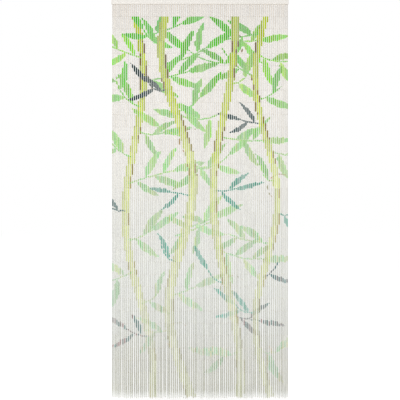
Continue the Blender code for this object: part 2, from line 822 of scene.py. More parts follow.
class Wiring:
    """Adds nodes to one tree and joins them, so that a finish reads as a short recipe."""

    def __init__(self, tree: bpy.types.NodeTree) -> None:
        """Keeps the tree that the nodes go into."""
        self.tree = tree

    def node(self, kind: str, **settings: object) -> bpy.types.Node:
        """Adds a node.

        Args:
            kind: The node's type.
            **settings: Its properties by name.

        Returns:
            The node.
        """
        made = self.tree.nodes.new(kind)
        for name, value in settings.items():
            setattr(made, name, value)
        return made

    def feed(self, socket: Socket, value: Feed) -> None:
        """Links a socket to another one, or sets it to a constant.

        Args:
            socket: The input.
            value: The output that it takes its value from, or the constant.
        """
        if isinstance(value, bpy.types.NodeSocket):
            self.tree.links.new(value, socket)
        else:
            socket.default_value = value

    def maths(self, operation: str, *values: Feed, clamp: bool = False) -> Socket:
        """One sum of plain values.

        Args:
            operation: The Math node's operation.
            *values: What it takes.
            clamp: True to hold the outcome from 0 to 1.

        Returns:
            The outcome.
        """
        made = self.node("ShaderNodeMath", operation=operation, use_clamp=clamp)
        for socket, value in zip(made.inputs, values):
            self.feed(socket, value)
        return made.outputs[0]

    def vector_maths(self, operation: str, *values: Feed) -> Socket:
        """One sum of vectors.

        Args:
            operation: The Vector Math node's operation.
            *values: What it takes.

        Returns:
            A vector or, for a dot product, a value.
        """
        made = self.node("ShaderNodeVectorMath", operation=operation)
        for socket, value in zip(made.inputs, values):
            self.feed(socket, value)
        return made.outputs["Value" if operation == "DOT_PRODUCT" else "Vector"]

    def spread(self, value: Feed, low: float, high: float, to_low: float, to_high: float) -> Socket:
        """Maps one range of a value to another, and holds it there.

        Args:
            value: The value.
            low: Where its range starts.
            high: Where its range ends.
            to_low: What the start becomes.
            to_high: What the end becomes.

        Returns:
            The mapped value.
        """
        made = self.node("ShaderNodeMapRange", clamp=True)
        for socket, number in zip(made.inputs, (value, low, high, to_low, to_high)):
            self.feed(socket, number)
        return made.outputs[0]

    def streaked(self, streak: Feed, faint: float, strong: float) -> Socket:
        """Maps the tone of a group's fibres, most of which lies from 0.3 to 0.7, to a range."""
        return self.spread(streak, 0.3, 0.7, faint, strong)

    def swung(self, value: Feed, low: float, high: float) -> Socket:
        """Maps a value that swings from -1 to 1 to a range."""
        return self.spread(value, -1.0, 1.0, low, high)

    def seen(self, bounced: float, looked_at: float) -> Socket:
        """One value for light that bounces about, and another for what the camera sees."""
        camera = self.node("ShaderNodeLightPath").outputs["Is Camera Ray"]
        return self.spread(camera, 0.0, 1.0, bounced, looked_at)

    def blend(self, share: Feed, under: Feed, over: Feed) -> Socket:
        """Lays one colour over another.

        Args:
            share: How much of the upper colour shows, from 0 to 1.
            under: The lower colour.
            over: The upper colour.

        Returns:
            The colour that shows.
        """
        made = self.node("ShaderNodeMix", data_type="RGBA", clamp_factor=True)
        factor, first, second = made.inputs[0], made.inputs[6], made.inputs[7]
        self.feed(factor, share)
        self.feed(first, under)
        self.feed(second, over)
        return made.outputs[2]

    def toned(self, colour: Feed, tone: Feed, richness: Feed = 1.0) -> Socket:
        """Makes a colour lighter or darker, and richer or paler.

        Args:
            colour: The colour.
            tone: What its brightness is multiplied by.
            richness: What its saturation is multiplied by.

        Returns:
            The changed colour.
        """
        made = self.node("ShaderNodeHueSaturation")
        self.feed(made.inputs["Value"], tone)
        self.feed(made.inputs["Saturation"], richness)
        self.feed(made.inputs["Color"], colour)
        return made.outputs["Color"]

    def noise(self, place: Feed, scale: Feed, detail: float = 2.0) -> Socket:
        """Soft noise.

        Args:
            place: The point.
            scale: How fine the noise is.
            detail: How many finer layers lie in it.

        Returns:
            A value from 0 to 1.
        """
        made = self.node("ShaderNodeTexNoise")
        self.feed(made.inputs["Vector"], place)
        self.feed(made.inputs["Scale"], scale)
        self.feed(made.inputs["Detail"], detail)
        return made.outputs[0]

    def parts(self, vector: Feed) -> tuple[Socket, Socket, Socket]:
        """Takes a vector apart.

        Args:
            vector: The vector.

        Returns:
            Its three parts.
        """
        made = self.node("ShaderNodeSeparateXYZ")
        self.feed(made.inputs[0], vector)
        return made.outputs[0], made.outputs[1], made.outputs[2]

    def vector(self, *values: Feed) -> Socket:
        """Puts a vector together.

        Args:
            *values: Its three parts.

        Returns:
            The vector.
        """
        made = self.node("ShaderNodeCombineXYZ")
        for socket, value in zip(made.inputs, values):
            self.feed(socket, value)
        return made.outputs[0]

    def place(self) -> Socket:
        """The point's place in the row frame."""
        return self.node("ShaderNodeTexCoord").outputs["Object"]

    def carried(self, name: str, output: str = "Vector") -> Socket:
        """What the mesh carries in its points under that name."""
        return self.node("ShaderNodeAttribute", attribute_name=name).outputs[output]

    def bump(self, shader: bpy.types.Node, height: Socket, strength: float, depth: float) -> None:
        """Gives a shader fine relief.

        Args:
            shader: The Principled shader.
            height: How high each point stands, as a share of the depth.
            strength: How much of the relief shows.
            depth: The depth in metres.
        """
        made = self.node("ShaderNodeBump")
        self.feed(made.inputs["Strength"], strength)
        self.feed(made.inputs["Distance"], depth)
        self.feed(made.inputs["Height"], height)
        self.feed(shader.inputs["Normal"], made.outputs[0])

    def ramp(self, share: Feed, stops: tuple[tuple[float, Colour], ...]) -> Socket:
        """Colours along a range.

        Args:
            share: The place on the range, from 0 to 1.
            stops: Places with their colours, from 0 up.

        Returns:
            The colour at the place.
        """
        made = self.node("ShaderNodeValToRGB")
        band = made.color_ramp.elements
        while len(band) < len(stops):
            band.new(1.0)
        for element, (place, colour) in zip(band, stops):
            element.position = place
            element.color = colour.linear()
        self.feed(made.inputs[0], share)
        return made.outputs["Color"]

    def group(self, tree: bpy.types.NodeTree, **values: Feed) -> bpy.types.Node:
        """Places a node group.

        Args:
            tree: The group.
            **values: What its inputs take, by name.

        Returns:
            Its node.
        """
        made = self.node("ShaderNodeGroup", node_tree=tree)
        for name, value in values.items():
            self.feed(made.inputs[name], value)
        return made


class Kind(Enum):
    """What a group's socket carries."""

    VALUE = "NodeSocketFloat"
    VECTOR = "NodeSocketVector"
    COLOUR = "NodeSocketColor"


class Recipe:
    """A shader node group in the making, with named inputs and outputs."""

    def __init__(self, name: str, takes: dict[str, Kind], gives: dict[str, Kind]) -> None:
        """Makes the empty group.

        Args:
            name: The group's name.
            takes: Its inputs.
            gives: Its outputs.
        """
        self.tree = bpy.data.node_groups.new(name, "ShaderNodeTree")
        for label, kind in takes.items():
            self.tree.interface.new_socket(name=label, in_out="INPUT", socket_type=kind.value)
        for label, kind in gives.items():
            self.tree.interface.new_socket(name=label, in_out="OUTPUT", socket_type=kind.value)
        self.wiring = Wiring(self.tree)
        self.takes = self.wiring.node("NodeGroupInput").outputs
        self.gives = self.wiring.node("NodeGroupOutput").inputs


class Effects:
    """The node groups that the finishes use, each built once.

    FINER is how much finer the fine fibres are than the broad ones, and FINE_SHARE what they weigh
    in the relief. WEAR_NOISE is the range of noise over which wear reaches in from an edge, and
    WEAR_SOFTNESS the width of its soft rim, as a share of the farthest that it reaches.
    """

    FINER = 3.1
    FINE_SHARE = 0.4
    WEAR_NOISE = (0.35, 0.75)
    WEAR_SOFTNESS = 0.3

    def __init__(self) -> None:
        """Builds the groups."""
        self.fibres = self.build_fibres()
        self.drift = self.build_drift()
        self.wear = self.build_wear()
        self.stroke = self.build_stroke()

    def build_fibres(self) -> bpy.types.NodeTree:
        """Long fibres along the third part of the place, as in bamboo and planed wood.

        Returns:
            The group: its Streak is a tone from 0 to 1, and its Height is for a bump.
        """
        recipe = Recipe(
            "fibres",
            {"Place": Kind.VECTOR, "Across": Kind.VALUE, "Along": Kind.VALUE},
            {"Streak": Kind.VALUE, "Height": Kind.VALUE},
        )
        w, takes = recipe.wiring, recipe.takes
        scale = w.vector(takes["Across"], takes["Across"], takes["Along"])
        stretched = w.vector_maths("MULTIPLY", takes["Place"], scale)
        broad = w.noise(stretched, 1.0, detail=3.0)
        fine = w.noise(stretched, self.FINER, detail=1.0)
        coarse = w.maths("MULTIPLY", broad, 1.0 - self.FINE_SHARE)
        height = w.maths("ADD", coarse, w.maths("MULTIPLY", fine, self.FINE_SHARE))
        w.feed(recipe.gives["Streak"], broad)
        w.feed(recipe.gives["Height"], height)
        return recipe.tree

    def build_drift(self) -> bpy.types.NodeTree:
        """Slow drift of a coat's tone over the whole surface.

        Returns:
            The group: its Tone lies about 1.
        """
        recipe = Recipe(
            "tone_drift",
            {"Place": Kind.VECTOR, "Scale": Kind.VALUE, "Strength": Kind.VALUE},
            {"Tone": Kind.VALUE},
        )
        w, takes = recipe.wiring, recipe.takes
        off = w.maths("SUBTRACT", w.noise(takes["Place"], takes["Scale"]), 0.5)
        doubled = w.maths("MULTIPLY", off, 2.0)
        w.feed(recipe.gives["Tone"], w.maths("MULTIPLY_ADD", doubled, takes["Strength"], 1.0))
        return recipe.tree

    def build_wear(self) -> bpy.types.NodeTree:
        """Paint that has rubbed off unevenly near an edge.

        Returns:
            The group: its Wear is 1 where the paint is gone.
        """
        recipe = Recipe(
            "edge_wear",
            {
                "Place": Kind.VECTOR,
                "Distance": Kind.VALUE,
                "Reach": Kind.VALUE,
                "Grain": Kind.VALUE,
            },
            {"Wear": Kind.VALUE},
        )
        w, takes = recipe.wiring, recipe.takes
        uneven = w.spread(w.noise(takes["Place"], takes["Grain"]), *self.WEAR_NOISE, 0.0, 1.0)
        limit = w.maths("MULTIPLY", uneven, takes["Reach"])
        inside = w.maths("SUBTRACT", limit, takes["Distance"])
        soft = w.maths("MULTIPLY", takes["Reach"], self.WEAR_SOFTNESS)
        w.feed(recipe.gives["Wear"], w.maths("DIVIDE", inside, soft, clamp=True))
        return recipe.tree

    def build_stroke(self) -> bpy.types.NodeTree:
        """One layer of print over what lies under it, between two straight edges.

        Returns:
            The group: its Colour is what then shows, and its Paint is where the layer lies.
        """
        recipe = Recipe(
            "printed_stroke",
            {
                "Under": Kind.COLOUR,
                "Place": Kind.VECTOR,
                "Near": Kind.VECTOR,
                "Far": Kind.VECTOR,
                "Ink": Kind.COLOUR,
                "Cover": Kind.VALUE,
                "Round": Kind.VALUE,
                "Softness": Kind.VALUE,
            },
            {"Colour": Kind.COLOUR, "Paint": Kind.VALUE},
        )
        w, takes = recipe.wiring, recipe.takes
        near = w.vector_maths("DOT_PRODUCT", takes["Near"], takes["Place"])
        far = w.vector_maths("DOT_PRODUCT", takes["Far"], takes["Place"])
        inside = []
        for depth in (near, far):
            softened = w.maths("DIVIDE", depth, takes["Softness"])
            inside.append(w.maths("ADD", softened, 0.5, clamp=True))
        patch = w.maths("MULTIPLY", inside[0], inside[1])
        paint = w.maths("MULTIPLY", patch, takes["Cover"])
        share = w.maths("DIVIDE", near, w.maths("ADD", near, far), clamp=True)
        aside = w.maths("ABSOLUTE", w.spread(share, 0.0, 1.0, -1.0, 1.0))
        rounded = w.maths("SUBTRACT", w.maths("POWER", aside, 2.0), 0.5)
        tone = w.maths("MULTIPLY_ADD", rounded, takes["Round"], 1.0)
        ink = w.toned(takes["Ink"], tone)
        w.feed(recipe.gives["Colour"], w.blend(paint, takes["Under"], ink))
        w.feed(recipe.gives["Paint"], paint)
        return recipe.tree


def new_material(name: str, look: Colour) -> tuple[bpy.types.Material, Wiring, bpy.types.Node]:
    """A material with nothing but its shader.

    Args:
        name: The material's name.
        look: Its colour in a plain view.

    Returns:
        The material, the wiring of its tree, and its Principled shader.
    """
    material = bpy.data.materials.new(name)
    material.use_nodes = True
    material.diffuse_color = look.linear()
    return material, Wiring(material.node_tree), material.node_tree.nodes["Principled BSDF"]


@dataclass(frozen=True)
class PaintedBamboo:
    """Cream paint on bamboo, with the leaf print on it and bare bamboo at the sawn ends.

    A pair of numbers is the range of a tone, a richness or a roughness. The print thins between
    two places behind a tube's axis, counted in radii, and the paint gives way where the share of
    outer skin at an eased rim falls from the second limit to the first.
    """

    layers: int
    drop: float
    radius: float
    cream: Colour = Colour(239, 235, 228)
    greyest: Colour = Colour(210, 210, 200)
    # Painted light: the coat's last stop, paler to stand for light bounced up from the floor onto
    # the strands' ends.
    end_bounce_light: Colour = Colour(250, 251, 248)
    bare: Colour = Colour(228, 214, 186)
    fibres_across: float = 900.0
    fibres_along: float = 14.0
    fibre_tone: tuple[float, float] = (0.975, 1.02)
    bare_fibre_tone: tuple[float, float] = (0.8, 1.1)
    drift_scale: float = 4.0
    drift_strength: float = 0.05
    tube_tone: tuple[float, float] = (0.97, 1.03)
    tube_richness: tuple[float, float] = (0.85, 1.15)
    stroke_softness: float = 0.0009
    print_thins: tuple[float, float] = (-0.2, 0.8)
    back_cover: float = 0.45
    skin_gives_way: tuple[float, float] = (0.2, 0.9)
    worn_rim: float = 0.0004
    rim_grain: float = 700.0
    roughness: tuple[float, float] = (0.50, 0.64)
    smoother_print: float = 0.08
    specular: float = 0.18
    relief: float = 0.25
    relief_depth: float = 0.00015

    def material(self, effects: Effects) -> bpy.types.Material:
        """Builds the finish.

        Args:
            effects: The node groups.

        Returns:
            The material.
        """
        material, w, shader = new_material("painted_bamboo", self.cream)
        place = w.place()
        across, fore, drop = w.parts(w.carried("rest"))
        to_upper, to_lower, skin = w.parts(w.carried("tube"))
        tone_draw, warm_draw, seed = w.parts(w.carried("chance"))

        coat = self.coat(w, w.maths("DIVIDE", drop, self.drop))
        fibres = w.group(
            effects.fibres,
            Place=w.vector_maths("ADD", place, w.vector(seed, seed, seed)),
            Across=self.fibres_across,
            Along=self.fibres_along,
        ).outputs
        drift = w.group(
            effects.drift, Place=place, Scale=self.drift_scale, Strength=self.drift_strength
        ).outputs["Tone"]
        printed, paint = self.printed(w, effects, coat, across, fore, drop)
        tone = w.maths("MULTIPLY", drift, w.swung(tone_draw, *self.tube_tone))
        tone = w.maths("MULTIPLY", tone, w.streaked(fibres["Streak"], *self.fibre_tone))
        painted = w.toned(printed, tone, w.swung(warm_draw, *self.tube_richness))

        bare = w.toned(self.bare.linear(), w.streaked(fibres["Streak"], *self.bare_fibre_tone))
        rim = w.group(
            effects.wear,
            Place=place,
            Distance=w.maths("MINIMUM", to_upper, to_lower),
            Reach=self.worn_rim,
            Grain=self.rim_grain,
        ).outputs["Wear"]
        inner = w.spread(skin, *self.skin_gives_way, 1.0, 0.0)
        unpainted = w.maths("MAXIMUM", rim, inner)
        w.feed(shader.inputs["Base Color"], w.blend(unpainted, painted, bare))

        rough = w.streaked(fibres["Streak"], *self.roughness)
        rough = w.maths("MULTIPLY_ADD", paint, -self.smoother_print, rough)
        w.feed(shader.inputs["Roughness"], rough)
        w.feed(shader.inputs["Specular IOR Level"], self.specular)
        w.bump(shader, fibres["Height"], self.relief, self.relief_depth)
        return material

    def coat(self, w: Wiring, share: Socket) -> Socket:
        """The plain coat: a little darker just under the rail, greyer towards the foot, and paler
        again at the very end, where painted light stands for light bounced up from the floor.

        Args:
            w: The material's wiring.
            share: 0 at the rail to 1 at the foot.

        Returns:
            The coat's colour.
        """
        stops = (
            (0.0, Colour(230, 224, 216)),
            (0.08, self.cream),
            (0.30, self.cream),
            (0.52, Colour(231, 230, 223)),
            (0.70, Colour(226, 227, 220)),
            (0.82, Colour(218, 219, 212)),
            (0.90, self.greyest),
            (0.984, self.greyest),
            # Painted light from the floor below: the coat turns paler at the very end.
            (1.0, self.end_bounce_light),
        )
        return w.ramp(share, stops)

    def printed(
        self, w: Wiring, effects: Effects, coat: Socket, across: Socket, fore: Socket, drop: Socket
    ) -> tuple[Socket, Socket]:
        """Lays the print over the coat, thinner round the back of each tube.

        Args:
            w: The material's wiring.
            effects: The node groups.
            coat: The plain coat's colour.
            across: Distance from the tube's axis along the rail.
            fore: Distance from the tube's axis towards the wall.
            drop: Distance below the rail.

        Returns:
            The colour, and where any print lies.
        """
        place = w.vector(across, drop, 1.0)
        starts, ends = (share * self.radius for share in self.print_thins)
        facing = w.spread(fore, starts, ends, 1.0, self.back_cover)
        colour: Socket = coat
        all_paint: Socket | None = None
        for layer in range(self.layers):
            made = w.group(
                effects.stroke,
                Under=colour,
                Place=place,
                Near=w.carried(f"near_{layer}"),
                Far=w.carried(f"far_{layer}"),
                Ink=w.carried(f"ink_{layer}", "Color"),
                Cover=w.maths("MULTIPLY", w.carried(f"ink_{layer}", "Alpha"), facing),
                Round=w.carried(f"round_{layer}", "Fac"),
                Softness=self.stroke_softness,
            )
            colour = made.outputs["Colour"]
            paint = made.outputs["Paint"]
            all_paint = paint if all_paint is None else w.maths("MAXIMUM", all_paint, paint)
        return colour, all_paint


@dataclass(frozen=True)
class PaintedWood:
    """Off-white paint on a planed softwood batten, a little thin along its edges.

    A pair of numbers is the range of a tone or of the roughness.
    """

    low: Vector
    high: Vector
    coat: Colour = Colour(240, 236, 230)
    timber: Colour = Colour(214, 190, 148)
    fibres_across: float = 260.0
    fibres_along: float = 3.0
    fibre_tone: tuple[float, float] = (0.975, 1.012)
    timber_fibre_tone: tuple[float, float] = (0.8, 1.1)
    drift_scale: float = 9.0
    drift_strength: float = 0.02
    worn_edge: float = 0.0022
    edge_grain: float = 140.0
    worn_share: float = 0.35
    roughness: tuple[float, float] = (0.40, 0.52)
    specular: float = 0.45
    relief: float = 0.3
    relief_depth: float = 0.0003

    def edge_distance(self, w: Wiring, place: Socket) -> Socket:
        """How far a point on the batten's faces is from its nearest edge.

        Args:
            w: The material's wiring.
            place: The point.

        Returns:
            The distance, in metres.
        """
        middle = 0.5 * (self.low + self.high)
        half = 0.5 * (self.high - self.low)
        depths = []
        centred = w.vector_maths("SUBTRACT", place, tuple(middle))
        for part, reach in zip(w.parts(centred), half):
            depths.append(w.maths("SUBTRACT", reach, w.maths("ABSOLUTE", part)))
        first, second, third = depths
        smaller = w.maths("MINIMUM", first, second)
        larger = w.maths("MAXIMUM", first, second)
        return w.maths("MAXIMUM", smaller, w.maths("MINIMUM", larger, third))

    def material(self, effects: Effects) -> bpy.types.Material:
        """Builds the finish.

        Args:
            effects: The node groups.

        Returns:
            The material.
        """
        material, w, shader = new_material("painted_wood", self.coat)
        place = w.place()
        along, back, up = w.parts(place)
        fibres = w.group(
            effects.fibres,
            Place=w.vector(up, back, along),
            Across=self.fibres_across,
            Along=self.fibres_along,
        ).outputs
        drift = w.group(
            effects.drift, Place=place, Scale=self.drift_scale, Strength=self.drift_strength
        ).outputs["Tone"]
        tone = w.maths("MULTIPLY", drift, w.streaked(fibres["Streak"], *self.fibre_tone))
        painted = w.toned(self.coat.linear(), tone)
        timber_tone = w.streaked(fibres["Streak"], *self.timber_fibre_tone)
        timber = w.toned(self.timber.linear(), timber_tone)
        worn = w.group(
            effects.wear,
            Place=place,
            Distance=self.edge_distance(w, place),
            Reach=self.worn_edge,
            Grain=self.edge_grain,
        ).outputs["Wear"]
        thinned = w.maths("MULTIPLY", worn, self.worn_share)
        w.feed(shader.inputs["Base Color"], w.blend(thinned, painted, timber))
        w.feed(shader.inputs["Roughness"], w.streaked(fibres["Streak"], *self.roughness))
        w.feed(shader.inputs["Specular IOR Level"], self.specular)
        w.bump(shader, fibres["Height"], self.relief, self.relief_depth)
        return material


@dataclass(frozen=True)
class TwistedThread:
    """Pale twisted thread whose plies slant round it, with painted shade in the grooves between the
    plies, which are also rougher than the plies.
    """

    plies_a_metre: float = 700.0
    ply: Colour = Colour(226, 217, 198)
    # Painted shade: the darker colour given to the grooves between the plies, where shade falls.
    groove_shade: Colour = Colour(176, 162, 138)
    drift_scale: float = 60.0
    drift_strength: float = 0.08
    roughness: tuple[float, float] = (0.85, 0.7)
    relief: float = 0.5
    relief_depth: float = 0.0001

    def material(self, effects: Effects) -> bpy.types.Material:
        """Builds the finish.

        Args:
            effects: The node groups.

        Returns:
            The material.
        """
        material, w, shader = new_material("twisted_thread", self.ply)
        place = w.place()
        across, back, up = w.parts(place)
        slant = w.maths("ADD", w.maths("ADD", across, back), up)
        wound = w.maths("SINE", w.maths("MULTIPLY", slant, self.plies_a_metre * 2.0 * math.pi))
        drift = w.group(
            effects.drift, Place=place, Scale=self.drift_scale, Strength=self.drift_strength
        ).outputs["Tone"]
        # Painted shade: the colour goes from the plies' own colour to the darker groove colour
        # where the thread dips between them.
        plies = w.blend(w.swung(wound, 0.0, 1.0), self.groove_shade.linear(), self.ply.linear())
        w.feed(shader.inputs["Base Color"], w.toned(plies, drift))
        w.feed(shader.inputs["Roughness"], w.swung(wound, *self.roughness))
        w.bump(shader, wound, self.relief, self.relief_depth)
        return material


# Meshes


def rings_in_order(shape: bmesh.types.BMesh) -> list[list[bmesh.types.BMLoop]]:
    """Lists a shape's faces in the same order in every run, which the operators don't keep.

    Args:
        shape: The shape. Its points are numbered on the way.

    Returns:
        Each face's corners, from its lowest numbered point round.
    """
    shape.verts.index_update()
    rings = []
    for face in shape.faces:
        corners = face.loops[:]
        numbers = [corner.vert.index for corner in corners]
        first = numbers.index(min(numbers))
        rings.append(corners[first:] + corners[:first])
    return sorted(rings, key=lambda ring: [corner.vert.index for corner in ring])


@dataclass(frozen=True)
class Pattern:
    """A small shape read into arrays, to be repeated."""

    points: np.ndarray
    corners: np.ndarray
    unrolled: np.ndarray

    @classmethod
    def read(cls, shape: bmesh.types.BMesh) -> Pattern:
        """Reads a shape whose faces all have four corners, and frees it.

        Args:
            shape: The shape, with its unrolled places in its first UV layer, if it has one.

        Returns:
            Its arrays.
        """
        rings = rings_in_order(shape)
        unrolled = shape.loops.layers.uv.active
        points = np.array([tuple(vert.co) for vert in shape.verts])
        corners = np.array([[loop.vert.index for loop in ring] for ring in rings])
        places = np.zeros((len(corners) * 4, 2))
        if unrolled is not None:
            places = np.array([tuple(loop[unrolled].uv) for ring in rings for loop in ring])
        shape.free()
        return cls(points, corners, places)

    def faces_of(self, copies: int) -> np.ndarray:
        """The corners of that many copies, whose points follow on from one another."""
        steps = np.arange(copies) * len(self.points)
        return (self.corners[None, :, :] + steps[:, None, None]).reshape(-1, self.corners.shape[1])


def add_object(name: str, data: bpy.types.ID) -> bpy.types.Object:
    """Puts an object into the scene.

    Args:
        name: The object's name.
        data: Its mesh, camera or light.

    Returns:
        The object, at the origin.
    """
    made = bpy.data.objects.new(name, data)
    bpy.context.scene.collection.objects.link(made)
    return made


def shaped_piece(
    name: str, shape: bmesh.types.BMesh, material: bpy.types.Material
) -> bpy.types.Object:
    """Makes a piece from a shape, and frees the shape.

    Args:
        name: The piece's name.
        shape: The shape, in the row frame.
        material: Its finish.

    Returns:
        The piece.
    """
    faces = [[corner.vert.index for corner in ring] for ring in rings_in_order(shape)]
    mesh = bpy.data.meshes.new(name)
    mesh.from_pydata([tuple(vert.co) for vert in shape.verts], [], faces)
    shape.free()
    mesh.materials.append(material)
    return add_object(name, mesh)


def joined_piece(
    name: str, points: np.ndarray, faces: np.ndarray, material: bpy.types.Material, crease: float
) -> bpy.types.Object:
    """Makes a piece from arrays, shaded smooth but for its creases.

    Args:
        name: The piece's name.
        points: Its points, in the row frame.
        faces: Its faces' corners.
        material: Its finish.
        crease: The angle, in degrees, past which an edge shows.

    Returns:
        The piece.
    """
    mesh = bpy.data.meshes.new(name)
    mesh.from_pydata(points.reshape(-1, 3).tolist(), [], faces.tolist())
    mesh.materials.append(material)
    mesh.shade_smooth()
    mesh.set_sharp_from_angle(angle=math.radians(crease))
    return add_object(name, mesh)


class PointData(Enum):
    """What a mesh's points can carry: the attribute's type, and the field that holds it."""

    VALUE = ("FLOAT", "value")
    VECTOR = ("FLOAT_VECTOR", "vector")
    COLOUR = ("FLOAT_COLOR", "color")


def carry(mesh: bpy.types.Mesh, name: str, kind: PointData, values: np.ndarray) -> None:
    """Gives each point of a mesh its own value, vector or colour.

    Args:
        mesh: The mesh.
        name: What a material reads it by.
        kind: Which of the three it is.
        values: One row for each point.
    """
    attribute_type, field = kind.value
    made = mesh.attributes.new(name, attribute_type, "POINT")
    made.data.foreach_set(field, np.ascontiguousarray(values, dtype=np.float32).ravel())


@dataclass(frozen=True)
class Tube:
    """One bored bamboo tube with eased rims, its upper end at the origin.

    Its cell is the place of one tube on its piece's unrolled surface, in pixels of a picture 1024
    wide and high. The wall's outside has most of a cell, and each other strip of it a few pixels.
    """

    diameter: float = 0.0077
    bore: float = 0.0050
    eased: float = 0.0003
    sides: int = 10
    cell: tuple[float, float] = (51.2, 128.0)
    cell_margin: float = 1.2
    wall_share: float = 108.0
    rim_share: float = 3.0

    def outline(self, length: float) -> list[Vector]:
        """The tube's wall, cut through.

        Args:
            length: The tube's length.

        Returns:
            The cut's corners, down the outside and back up the bore.
        """
        outer, inner = 0.5 * self.diameter, 0.5 * self.bore
        shoulder = outer - self.eased
        stations = (
            (outer, -self.eased),
            (outer, self.eased - length),
            (shoulder, -length),
            (inner, -length),
            (inner, 0.0),
            (shoulder, 0.0),
        )
        return [Vector((radius, 0.0, z)) for radius, z in stations]

    def pattern(self, length: float) -> Pattern:
        """Spins the wall's outline about the tube's axis and unrolls its faces.

        Args:
            length: The tube's length.

        Returns:
            The tube's arrays, its places unrolled into one cell that is 1 wide and 1 high.
        """
        shape = bmesh.new()
        outline = self.outline(length)
        verts = [shape.verts.new(point) for point in outline]
        edges = [shape.edges.new(pair) for pair in zip(verts, verts[1:] + verts[:1])]
        bmesh.ops.spin(
            shape,
            geom=verts + edges,
            cent=(0.0, 0.0, 0.0),
            axis=(0.0, 0.0, 1.0),
            angle=2.0 * math.pi,
            steps=self.sides,
            use_merge=True,
        )
        bmesh.ops.recalc_face_normals(shape, faces=shape.faces)
        self.unroll(shape, outline)
        return Pattern.read(shape)

    def unroll(self, shape: bmesh.types.BMesh, outline: list[Vector]) -> None:
        """Lays the faces out flat: round the tube by how far along its outline.

        Args:
            shape: The spun tube.
            outline: The outline that it was spun from.
        """
        places = shape.loops.layers.uv.new("unrolled")
        stations = [self.cell_margin]
        for number in range(len(outline)):
            share = self.wall_share if number == 0 else self.rim_share
            stations.append(stations[-1] + share)
        wide = self.cell[0] - 2.0 * self.cell_margin
        for face in shape.faces:
            middle = face.calc_center_median()
            facing = math.atan2(middle.y, middle.x) % (2.0 * math.pi)
            found = [self.station(loop.vert.co, outline) for loop in face.loops]
            closing = set(found) == {0, len(outline) - 1}
            for loop, station in zip(face.loops, found):
                at = math.atan2(loop.vert.co.y, loop.vert.co.x)
                turned = (at - facing + math.pi) % (2.0 * math.pi) - math.pi
                share = (facing + turned) / (2.0 * math.pi)
                number = len(outline) if closing and station == 0 else station
                loop[places].uv = (
                    (self.cell_margin + wide * share) / self.cell[0],
                    stations[number] / self.cell[1],
                )

    def station(self, point: Vector, outline: list[Vector]) -> int:
        """The number of the outline's point that a point of the tube was spun from."""
        here = Vector((math.hypot(point.x, point.y), 0.0, point.z))
        return min(range(len(outline)), key=lambda number: (outline[number] - here).length)

    def skin(self, points: np.ndarray) -> np.ndarray:
        """1 for each point on the painted outside, and 0 for each one on a rim or in the bore."""
        radii = np.hypot(points[:, 0], points[:, 1])
        return (radii > 0.5 * (self.diameter - self.eased)).astype(float)


